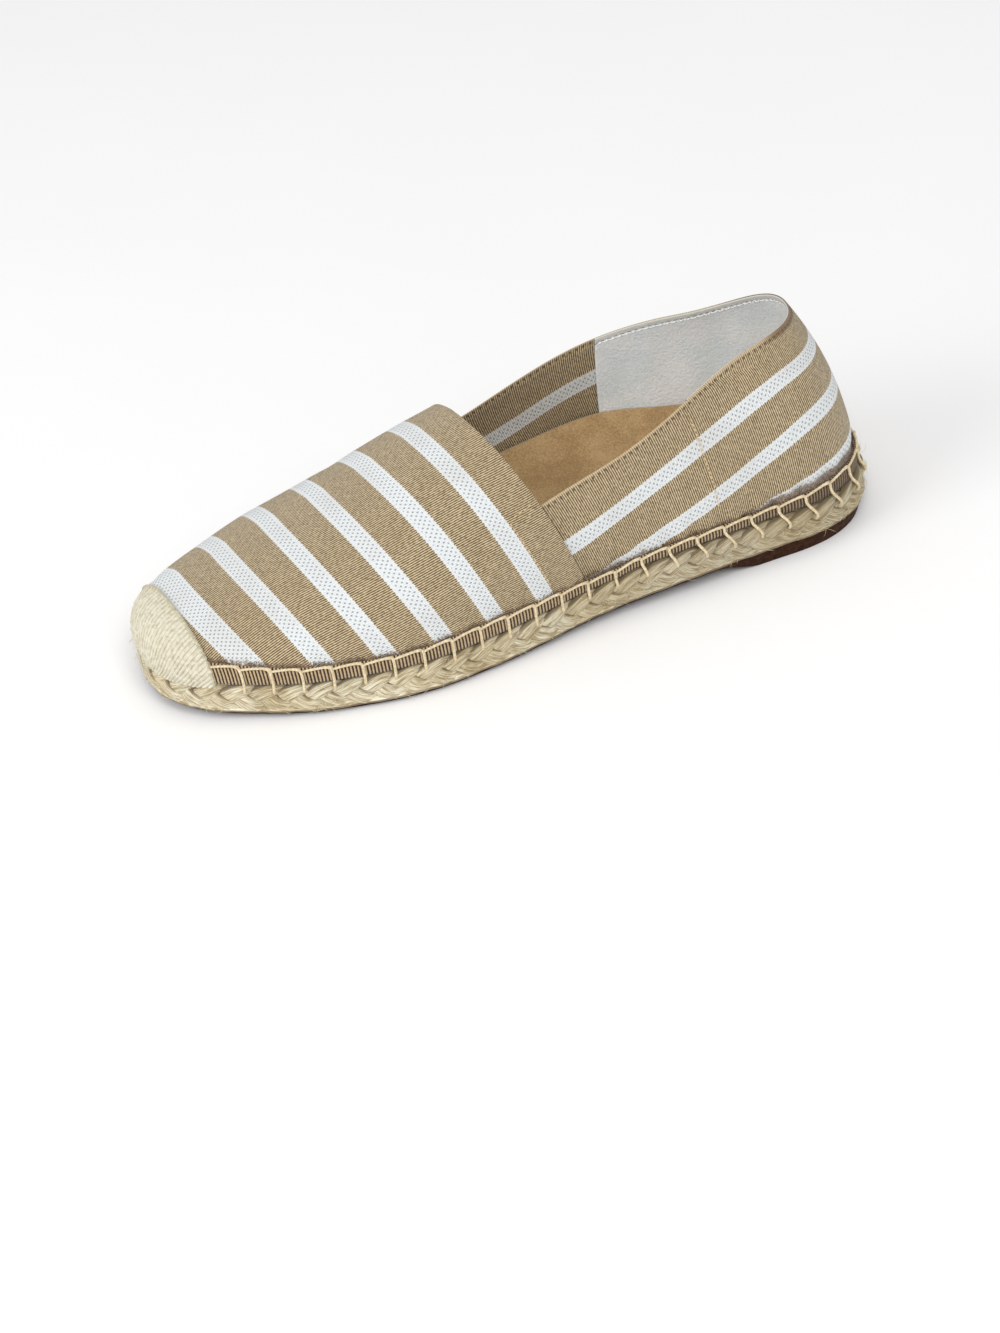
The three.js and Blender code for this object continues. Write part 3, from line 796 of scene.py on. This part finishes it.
def striped_cloth(name, width, hemmed):
    """Ribbed cotton with white stripes. U runs across the stripes from the cloth's edge and V along
    them, in millimetres: ribs run along U, and rows of small gaps of the knit show in the stripes.
    `foot` is the height over the tape, near which the cloth's cut edge is frayed. A hemmed edge
    shows a rolled rim with a painted highlight, a row of stitch holes, and painted shade at the heel's
    back."""
    made, base = new_finish(name, 0.88, 0.2)
    u, v, _ = split(cloth_place(base))
    foot = base.node("ShaderNodeAttribute", {"attribute_name": "foot"}, {}, "Fac")
    place = object_place(base)
    mottle = place.noise(0.9, 3)
    rib = v.wave(RIB_PITCH)
    column, row = u / DOT_PITCH[0], v / DOT_PITCH[1]
    net = (column + row).wave(2) * (column - row).wave(2)

    # How far from the nearest stripe's middle, the last one being wider
    wider = u.soft_step(LAST_STRIPE, LAST_STRIPE + 0.2) * LAST_EXTRA
    away = abs((u + (STRIPE_PITCH / 2 - STRIPE_FIRST)) % STRIPE_PITCH - STRIPE_PITCH / 2) - wider
    rim = width / 2
    mask = (away + v.wave(RIB_PITCH * 2) * 0.3).soft_step(rim + 0.3, rim) * u.soft_step(1, 2)
    # Painted shade in the rib grooves, mixed with random tone and the knit's gaps
    lit = (rib * 0.7 + (mottle - 0.5) * 0.8 - net * 0.16).soft_step(0.0, 0.72)
    ground = lit.blend(tone(98, 79, 51), tone(217, 197, 160))
    gaps = net.soft_step(0.35, 0.8) * away.soft_step(rim - 0.7, rim - 1.2)
    # The stripes' grey knit gaps, with a little painted shade in the rib grooves
    knit = (gaps * 0.75 + (1 - rib) * 0.15).blend(tone(235, 238, 238), tone(134, 142, 150))
    soil = place.noise(0.05, 3).soft_step(0.4, 0.75) * 0.14
    colour = soil.blend(mask.blend(ground, knit), tone(150, 128, 96))

    # The frayed brown band along the cloth's foot; at the quarters' heel it is partly painted shade
    frayed = (foot - place.noise(1.5, 2) * 5).soft_step(-1.0, -2.2)
    brown = place.noise(2.2, 2).soft_step(0.4, 0.62).blend(tone(92, 70, 50), tone(168, 144, 120))
    colour = (frayed * 0.85).blend(colour, brown)
    height = rib * 0.7 - net * 0.35 + mask * 0.3 + frayed * mottle
    if hemmed:
        # Painted highlight along the rolled rim at the collar's edge
        colour = (u.soft_step(0.5, 0.15) * 0.55).blend(colour, tone(214, 190, 152))
        hole = abs(u - HEM_ROW).soft_step(0.6, 0.15) * v.wave(HEM_PITCH).soft_step(0.62, 0.9)
        colour = (hole * 0.75).blend(colour, tone(76, 54, 34))
        x, _, _ = split(place)
        # Painted shade on the collar's rim at the heel's back
        heel_rim_shade = x.soft_step(-90, -100) * u.soft_step(2.2, 1.2)
        colour = (heel_rim_shade * 0.7).blend(colour, tone(104, 76, 52))
        height = height - hole
    feed(base, colour, height, 0.25)
    return made


cloth = striped_cloth("hemmed_cotton", STRIPE_WIDTH["quarters"], True)
quarters = surface("quarters", wall(outer, inner, quarter_marks), cloth)
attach(quarters, "root")
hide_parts("upper")

# Vamp: the same cloth with its stripes across the foot, folded in along the throat. It laps over
# the quarters' front ends, which show through it as a low step.

NEAR = 22 / SOLE_LENGTH  # how far ahead of the throat the quarters' ends show
LAP_TOP = 37  # height over the jute to which the quarters' ends reach
STRIPE_SPREAD = 0.165  # how much the stripes spread for each 100 mm ahead of the throat
SPREAD_FROM = 0.57  # the share of the turn where they don't


def across_stripes(ahead, phi):
    """Distance across the vamp's stripes, in the cloth: the distance ahead of the throat over the
    spread, which grows from the ridge to both sides and with that distance."""
    apart = np.hypot(phi / np.pi - SPREAD_FROM, 0.055) - 0.05
    return ahead / (1 + STRIPE_SPREAD * apart * ahead / 100)


# A low step shows where the quarters end. The cloth has a dent at its lateral side and a soft fold.
t = np.linspace(0, 1, 151)[:, None]
w = np.linspace(0, 1, 201)[None, :]
phi = np.pi * w * np.ones_like(t)
at = 1 - (1 - crossing(THROAT, phi)) * (1 - np.sin(t * np.pi / 2))
ahead = at - crossing(THROAT, phi)
flat = last(at, phi, VAMP_STEP)
height = flat[..., 2] - bed_foot(at)
arc = lengths(flat)
arc = arc - arc[:, [w.size // 2]]
step = 0.35 * ease((NEAR - ahead) / 0.012) * ease((LAP_TOP - height) / 3)
dent = 0.6 * hump(at, 0.6, 0.02) * hump(phi, 0.3 * np.pi, 0.25)
fold = 0.3 * hump(at, 0.69, 0.016) * hump(phi, 0.62 * np.pi, 0.5)
off = VAMP_STEP + step + pucker(flat[..., 0], height) * ease((0.93 - at) * 30) - dent - fold
outer = last(at, phi, off)
inner = last(at, phi, off - CLOTH)
over_tape = height - along(TAPE, "height", at)
vamp_marks = point(across_stripes(ahead * SOLE_LENGTH, phi), arc, over_tape)
cloth = striped_cloth("striped_cotton", STRIPE_WIDTH["vamp"], False)
vamp = surface("vamp", wall(outer, inner, vamp_marks), cloth)
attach(vamp, "root")
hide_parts("upper")

# Heel lining: off-white felted cotton inside the heel, hemmed at its front edges, sewn down below
# the collar by a row of white stitches and turned over the collar's edge.

LINING = 0.4
LINING_FRONT = {"lateral": 0.25, "medial": 0.299}
LINING_LEAN = 0.03  # how much nearer the heel its lateral front edge is at the foot
LINING_OVER = 0.35  # how far it stands over the collar's edge
LINING_RIM = 1.5  # from the collar's edge down to the row of stitches
LINING_HEM = 1.1
s = np.linspace(-1, 1, 281)[None, :]
t = np.linspace(0, 1, 61)[:, None]
side = np.where(s <= 0, 1.0, -1.0) * np.ones_like(t)
front = np.where(side > 0, LINING_FRONT["lateral"] - LINING_LEAN * t, LINING_FRONT["medial"])
at = (1 - np.cos(np.abs(s) * np.pi / 2)) * front
height = collar(at, side) * (1 - 0.94 * t ** 1.5) + LINING_OVER
drop = collar(at, side) + LINING_OVER - height
hem = np.exp(-((front - at) * SOLE_LENGTH / LINING_HEM) ** 4) * 0.35
swell = hem + 0.3 * hump(drop, LINING_RIM * 0.45, 0.9)
face = -cloth_depth(drop) - 0.02
waves = 0.2 * (1 + np.sin(at * 90)) * ease(drop / 20)
phi = turn_at(at, height, side)
outer = last(at, phi, face)
inner = last(at, phi, face - LINING - swell - waves)
lining_cloth, base = new_finish("lining_cotton", 0.95, 0.3)
u, v, _ = split(cloth_place(base))
place = object_place(base)
felt = place.noise(0.9, 4)
plain = (felt * 0.4 + place.noise(0.06, 4) * 0.6).soft_step(0.4, 0.6)
plain = plain.blend(tone(234, 243, 247), tone(250, 253, 255))
rim = (u + felt * 0.6).soft_step(LINING_RIM + 0.2, LINING_RIM - 0.3)
hemmed = (rim * 0.7).blend(plain, tone(184, 180, 166))
gap = abs(u - (LINING_RIM - 0.2)).soft_step(0.4, 0.1) * v.wave(HEM_PITCH).soft_step(0.3, 0.6)
feed(base, (gap * 0.8).blend(hemmed, tone(104, 98, 88)), felt, 0.35)
lining_marks = point(drop, lengths(inner[len(inner) // 2]) * np.ones_like(height))
lining = surface("heel_lining", wall(outer, inner, lining_marks), lining_cloth)
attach(lining, "root")


def pointed(radius):
    """A tube's radius along its path, drawn to a point at both ends."""
    radius[[0, -1]] = 0
    return radius


# The row of stitches under the lining's rim, a thread that goes up and down between its holes
THREAD = 0.22
signed = np.linspace(-LINING_FRONT["lateral"], LINING_FRONT["medial"], 900)
at, side = np.abs(signed), np.where(signed < 0, 1.0, -1.0)
height = collar(at, side) - LINING_RIM
run = lengths(last(at, turn_at(at, height, side), -CLOTH - LINING))
height = height + 0.3 * np.sin(2 * np.pi * run / HEM_PITCH)
depth = -cloth_depth(LINING_RIM) - LINING - 0.35 * clamp(0.6 + np.cos(4 * np.pi * run / HEM_PITCH))
spot = last(at, turn_at(at, height, side), depth)
white_thread = mottled("white_thread", 0.7, 0.5, (236, 238, 238), (248, 249, 250))
thread = tube(spot, [0, 0, 1], pointed(np.full(len(spot), THREAD)), 5)
row = surface("lining_stitches", [thread], white_thread)
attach(row, "root")

# Welt tape: a ribbed brown strip of cotton round the cloth's foot, from one end of the toe cap to
# the other, that the blanket stitch holds down.

WELT_THICKNESS = 0.8
WELT_BEND = np.pi * 0.75  # spaces the courses closer at the heel than at the toe
WELT_RIB = 1.18  # spacing of the ribs along the tape
WELT_CLEAR = 10 / SOLE_LENGTH  # the way over which the tape climbs on to the vamp


def welt_off(at, side):
    """How far out the tape's inner face lies: over the quarters, and further out over the vamp."""
    throat = np.where(side > 0, THROAT["lateral"], THROAT["medial"])
    return CLEARANCE + VAMP_STEP * ease((at - throat + 2 * WELT_CLEAR) / WELT_CLEAR)


def welt_place(course, share, extra, above=0.0):
    """Points on the tape: `course` is 1 at the lateral end, 0 at the heel's back and -1 at the medial
    end; `share` is the share of the tape's height and `above` a distance over that; `extra` is the
    distance out from the tape's inner face."""
    side = np.where(course >= 0, 1.0, -1.0)
    part = (1 - np.cos(np.abs(course) * WELT_BEND)) / (1 - np.cos(WELT_BEND))
    stop = np.where(side > 0, CAP_EDGE["lateral"], CAP_EDGE["medial"])
    height = share * along(TAPE, "height", part * stop) + above
    stop = crossing(CAP_EDGE, turn_at(stop, height, side, VAMP_STEP)) - 2 * CLEARANCE / SOLE_LENGTH
    at = part * stop
    off = welt_off(at, side) + extra
    return last(at, turn_at(at, height, side, off), off), at, side


def even_course(pitch, share, extra):
    """Courses that step evenly, about `pitch` apart, along a line on the tape."""
    fine = np.linspace(1, -1, 6001)
    line = welt_place(fine, share, extra)[0]
    run = lengths(line)
    count = round(run[-1] / pitch)
    return np.interp(np.linspace(0, run[-1], count + 1), run, fine), run[-1]


course, welt_run = even_course(WELT_RIB / 5, 0.5, WELT_THICKNESS)
along_welt = np.linspace(0, welt_run, len(course))
share = np.linspace(1, 0, 7)[:, None]
rib = 0.5 + 0.5 * np.cos(2 * np.pi * along_welt / WELT_RIB)
bulge = WELT_THICKNESS * (0.75 + 0.25 * np.sqrt(np.sin(np.pi * share))) - 0.22 * (1 - rib) ** 2
outer = welt_place(course[None, :], share, bulge)[0]
inner = welt_place(course[None, :], share, 0)[0]
welt_uv = point(share * 5, along_welt)
welt_cotton, base = new_finish("welt_cotton", 0.9, 0.2)
u, v, _ = split(cloth_place(base))
place = object_place(base)
lint = place.noise(1.2, 3)
x, _, _ = split(place)
# Painted shade in the grooves between the tape's ribs, with random tone, and darker towards the heel's
# back
bar = (v + WELT_RIB / 4).wave(WELT_RIB)
bright = (bar * 0.9 + (lint - 0.5) * 0.8).soft_step(0.2, 0.8) * (1 - x.soft_step(-60, -110) * 0.6)
feed(base, bright.blend(tone(60, 42, 28), tone(194, 170, 134)), u.wave(0.6) * 0.4 + lint, 0.2)
welt = surface("welt_tape_cotton", wall(outer, inner, welt_uv, 3, 0.6), welt_cotton)
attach(welt, "root")
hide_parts("welt_tape")

# Toe cap: coarse jute over the tip of the vamp, hemmed with a thin cord and sewn down to the top of
# the plait. Its yarns run down from the hem, and are knotted where they meet the sole.

CAP_THICKNESS = 1.6
CAP_INNER = VAMP_STEP + CLEARANCE
CAP_HEM = (0.55, 5)  # its share of the thickness at the hem, and how far ahead it is full
CAP_SKIRT = 1.4  # how far it reaches down over the jute's edge
SKIRT_SHARE = 0.09  # of the way over the toes, that the skirt adds at each end
WEAVE = (1.7, 2.3)  # spacing of the yarns that run down from the hem, and of the knots along them
CORD = 0.5  # half the hem cord's thickness
t = np.linspace(0, 1, 121)[:, None]
w = np.linspace(-SKIRT_SHARE, 1 + SKIRT_SHARE, 281)[None, :]
phi = np.pi * clamp(w) * np.ones_like(t)
at = 1 - (1 - crossing(CAP_EDGE, phi)) * (1 - np.sin(t * np.pi / 2))
below = np.maximum(0, np.maximum(-w, w - 1)) / SKIRT_SHARE * np.ones_like(t)
skirt = np.array([0, 0, -CAP_SKIRT]) * below[..., None]
across = lengths(last(at, phi, CAP_INNER + CAP_THICKNESS) + skirt)
across = across - across[:, [w.size // 2]]
ahead = (at - crossing(CAP_EDGE, phi)) * SOLE_LENGTH
# Ridges of yarns, with knobs where they are knotted near the sole, fading at the hem
knobs = ease((np.abs(w - 0.5) - 0.18) / 0.2) * np.ones_like(t)
yarn = across / WEAVE[0] + 0.12 * np.sin(ahead * 1.1)
ridges = np.abs(np.sin(np.pi * yarn))
weft = np.abs(np.sin(np.pi * ahead / WEAVE[1] + np.pi / 2 * (np.floor(yarn) % 2)))
lump = ridges * (0.55 + 0.45 * knobs * weft) + 0.25 * knobs * weft
lump = lump * (0.45 + 0.55 * knobs) + 0.12 * np.sin(ahead * 2.3 + across) * np.sin(across * 1.9)
thick = CAP_THICKNESS * (CAP_HEM[0] + (1 - CAP_HEM[0]) * ease(ahead / CAP_HEM[1]))
outer = last(at, phi, CAP_INNER + thick - 0.25 + 0.5 * lump * ease((1 - t) * 6)) + skirt
inner = last(at, phi, CAP_INNER) + skirt
cap_jute, base = new_finish("woven_jute", 0.9, 0.1)
u, v, _ = split(cloth_place(base))
place = object_place(base)
# A little painted shade in the grooves between the yarns, mixed with random tone
groove = abs((v * (math.pi / WEAVE[0])).sine()).soft_step(0.1, 0.7)
woven = (groove * 0.22 + place.noise(0.7, 3) * 0.9).soft_step(0.25, 0.8)
nap = place.noise(2.5, 3) + u.wave(WEAVE[0] / 2) * 0.3
feed(base, woven.blend(tone(182, 172, 142), tone(226, 220, 200)), nap, 0.25)
cap = surface("toe_cap_jute", wall(outer, inner, point(ahead, across)), cap_jute)
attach(cap, "root")
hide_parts("toe_cap")

# The cord of the cap's hem, from the sole over the toes to the sole
phi = np.linspace(0, np.pi, 160)
cord = last(crossing(CAP_EDGE, phi), phi, CAP_INNER + CAP_THICKNESS * 0.45)
twist = CORD * (1 + 0.12 * np.sin(2 * np.pi * lengths(cord) / 1.4))
hem = surface("toe_cap_cord", [tube(cord, [1, 0, 0.2], pointed(twist), 8)], cap_jute)
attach(hem, "root")

# Blanket stitch: cream cotton twine sews the welt and the cloth to the jute. A line runs along the
# tape's top, and at each stitch a leg loops over it, goes down over the tape and into the plait.

TWINE = (0.43, 0.54)  # half the thickness of the line and of a leg
LEG_SIDES = 8
LEG_STEPS = 20


def spline(control, count):
    """A soft path along control points: a uniform cubic B-spline whose first and last points are
    taken three times, so that it begins and ends at them."""
    control = np.concatenate([control[..., :1, :]] * 2 + [control] + [control[..., -1:, :]] * 2, -2)
    spans = control.shape[-2] - 3
    t = np.linspace(0, spans, count)
    k = np.minimum(np.floor(t), spans - 1).astype(int)
    f = t - k
    weights = [
        (1 - f) ** 3 / 6, (3 * f ** 3 - 6 * f ** 2 + 4) / 6,
        (3 * f ** 2 + 3 * f + 1 - 3 * f ** 3) / 6, f ** 3 / 6,
    ]
    return sum(weight[:, None] * control[..., k + i, :] for i, weight in enumerate(weights))


fine, run = even_course(0.7, 1, WELT_THICKNESS)
stitches = round(run / STITCH_PITCH)
knots = np.arange(1, stitches) * run / stitches


def course_at(where):
    """The course at that distance along the tape's top from its lateral end."""
    return np.interp(where, np.linspace(0, run, len(fine)), fine)


# The line sags from knot to knot
after_knot = (np.linspace(0, 1, len(fine)) * stitches) % 1
line = welt_place(fine, 1, WELT_THICKNESS + 0.2, 0.4 - 1.1 * (1 - after_knot) ** 2)[0]
twist = tube(line, [0, 0, 1], pointed(np.full(len(fine), TWINE[0])), LEG_SIDES)

# A leg's control points: from the line, round its corner and down the tape, each by its distance
# along from the knot, its share of the tape's height, its distance over that and out from the tape
ON_TAPE = (
    (-2.6, 1, 0.2, 0.0), (-1.3, 1, 0.4, 0.35), (0.1, 1, 0.4, 0.5),
    (0.3, 0.75, 0, 0.5), (0.2, 0.35, 0, 0.55),
)
on_tape = [
    welt_place(course_at(knots + beyond), share, WELT_THICKNESS + extra, above)[0]
    for beyond, share, above, extra in ON_TAPE
]
# 1 for the long legs round the heel, 0 for the short ones ahead of the throat
long_leg = ease((0.44 - welt_place(course_at(knots), 0, 0)[1]) / 0.2)


def on_plait(beyond, out, depth):
    """A point of a leg by its distance along from the knot, out from the sole's outline and down
    from the jute's top, each given for a short leg and for a long one."""
    beyond, out, depth = [short + (long - short) * long_leg for short, long in (beyond, out, depth)]
    _, at, side = welt_place(course_at(knots + beyond), 0, 0)
    return point(
        lengthwise(at, -out), middle(at) + side * half(at, -out), jute_bottom(at) + JUTE_HEIGHT - depth
    )


round_plait = [
    on_plait((0.2, 0.7), (-0.4, -0.3), (-0.4, -0.2)), on_plait((0.2, 1.5), (0.2, 0.4), (1.2, 1.3)),
    on_plait((0.2, 2.4), (0.2, 0.5), (2.4, 3.6)), on_plait((0.2, 3.0), (-1.2, -1.2), (3.0, 5.6)),
]
legs = spline(np.stack(on_tape + round_plait, 1), LEG_STEPS)
leg_radius = TWINE[1] * (0.85 + 0.15 * clamp(np.linspace(0, 4, LEG_STEPS)))
leg_tubes = tube(legs, [1, 0.2, 0.3], pointed(leg_radius), LEG_SIDES)
twine, base = new_finish("cream_twine", 0.8, 0.1)
ply = object_place(base).noise(1.5, 3)
feed(base, ply.soft_step(0.35, 0.7).blend(tone(208, 188, 150), tone(240, 224, 190)), ply, 0.2)
stitch = surface("blanket_stitch", [twist, *leg_tubes], twine)
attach(stitch, "root")

# Fringe: short brown threads of the cloth's cut foot that stand out above the blanket stitch
FRINGE = 1200
FRINGE_RISE = (0.5, 2.2)
FRINGE_SLANT = 0.8
FRINGE_LIFT = 0.5
FRINGE_RADIUS = 0.09
where = chance.uniform(0, run, FRINGE)[:, None]
share = np.linspace(0, 1, 5)
rise = chance.uniform(*FRINGE_RISE, FRINGE)[:, None] * share
slant = chance.normal(0, FRINGE_SLANT, FRINGE)[:, None] * share
lift = chance.uniform(0.0, FRINGE_LIFT, FRINGE)[:, None] * share
threads = welt_place(course_at(where + slant), 1, 0.1 - CLEARANCE + lift, rise)[0]
taper = FRINGE_RADIUS * np.array([0, 1, 1, 0.8, 0])
threads = tube(threads, [1, 1, 0.3], taper, 3)
brown_thread = mottled("brown_thread", 0.9, 0.8, (104, 80, 58), (186, 162, 134), (0.35, 0.65))
fringe = surface("foot_fringe", list(threads), brown_thread)
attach(fringe, "root")

# Seams: tan thread holds the lining's front edge through the quarter, and the quarter's end under
# the vamp, along its top and then down beside the first white stripe

SEAM_PITCH = 1.9
SEAM_THREAD = 0.29


def dashes(at, phi, off, across):
    """Short threads along a line of the last: each comes out of the cloth, lies on it and goes in."""
    run = lengths(last(at, phi, off))
    share = np.linspace(0, 1, 6)
    begin = np.arange(SEAM_PITCH / 2, run[-1] - SEAM_PITCH, SEAM_PITCH)
    where = begin[:, None] + SEAM_PITCH * 0.7 * share
    bend = 0.28 * np.sin(np.pi * share) - 0.12
    path = last(np.interp(where, run, at), np.interp(where, run, phi), off + bend)
    return list(tube(path, across, pointed(np.full(len(share), SEAM_THREAD)), 6))


height = np.linspace(47, 9, 80)
at = np.interp(height, [9, 20, 47], [0.2345, 0.2375, 0.254])
heel_seam = dashes(at, turn_at(at, height, 1), 0.05, (0.0, 1.0, 0.2))
beside = (STRIPE_FIRST - STRIPE_WIDTH["vamp"] / 2 - 0.4) / SOLE_LENGTH
end_phi = turn_at(crossing(THROAT, 0.3 * np.pi) + beside, LAP_TOP - 3, 1, VAMP_STEP)
phi = np.linspace(end_phi, 0.12, 80)
down_seam = dashes(crossing(THROAT, phi) + beside, phi, VAMP_STEP + 0.35, (0.0, 1.0, 0.4))
at = crossing(THROAT, end_phi) + np.linspace(0.004, beside, 40)
top_seam = dashes(at, np.full(len(at), end_phi), VAMP_STEP + 0.3, (0.0, 0.7, 1.0))
tan_thread = mottled("tan_thread", 0.75, 0.6, (188, 160, 118), (226, 204, 164))
seams = surface("seam_threads", heel_seam + down_seam + top_seam, tan_thread)
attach(seams, "root")

# Studio: a white floor, soft light from the camera's side and from the toe, and the camera where it
# stood for the photograph: its place, turn and focal length come from fitting the solids to that.

floor_mesh = bpy.data.meshes.new("floor")
floor_mesh.from_pydata([(-4, -4, 0), (4, -4, 0), (4, 4, 0), (-4, 4, 0)], [], [(0, 1, 2, 3)])
floor = bpy.data.objects.new("floor", floor_mesh)
bpy.context.scene.collection.objects.link(floor)
floor_mesh.materials.append(mottled("white_paper", 0.9, 0.01, (252, 252, 252), (255, 255, 255)))

world = bpy.data.worlds.new("studio")
world.use_nodes = True
world.node_tree.nodes["Background"].inputs["Color"].default_value = (1, 1, 1, 1)
world.node_tree.nodes["Background"].inputs["Strength"].default_value = 0.57
bpy.context.scene.world = world
bpy.context.scene.view_settings.view_transform = "Standard"


def stand(name, data, place, turn):
    """A lamp or a camera at its place in millimetres, turned round X, Y and Z by degrees."""
    made = bpy.data.objects.new(name, data)
    made.location = np.array(place) / 1000
    made.rotation_euler = np.radians(turn)
    bpy.context.scene.collection.objects.link(made)
    return made


for name, power, size, place, turn in (
    ("camera_side", 26, 1.4, (100, 1500, 1950), (38.265, 0, 174.668)),
    ("toe_side", 9, 0.9, (1400, 300, 900), (58.716, 0, 102.095)),
):
    lamp = bpy.data.lights.new(name, "AREA")
    lamp.energy = power
    lamp.size = size
    stand(name, lamp, place, turn)

FOCAL_PIXELS = 3415.07
IMAGE_HEIGHT = 1333  # of the photograph, in pixels
camera_data = bpy.data.cameras.new("camera")
camera_data.lens = FOCAL_PIXELS / IMAGE_HEIGHT * camera_data.sensor_width
camera_data.clip_end = 20
camera = stand("camera", camera_data, (249.61, 907.954, 703.346), (51.5599, 7.0034, 159.555))
bpy.context.scene.camera = camera
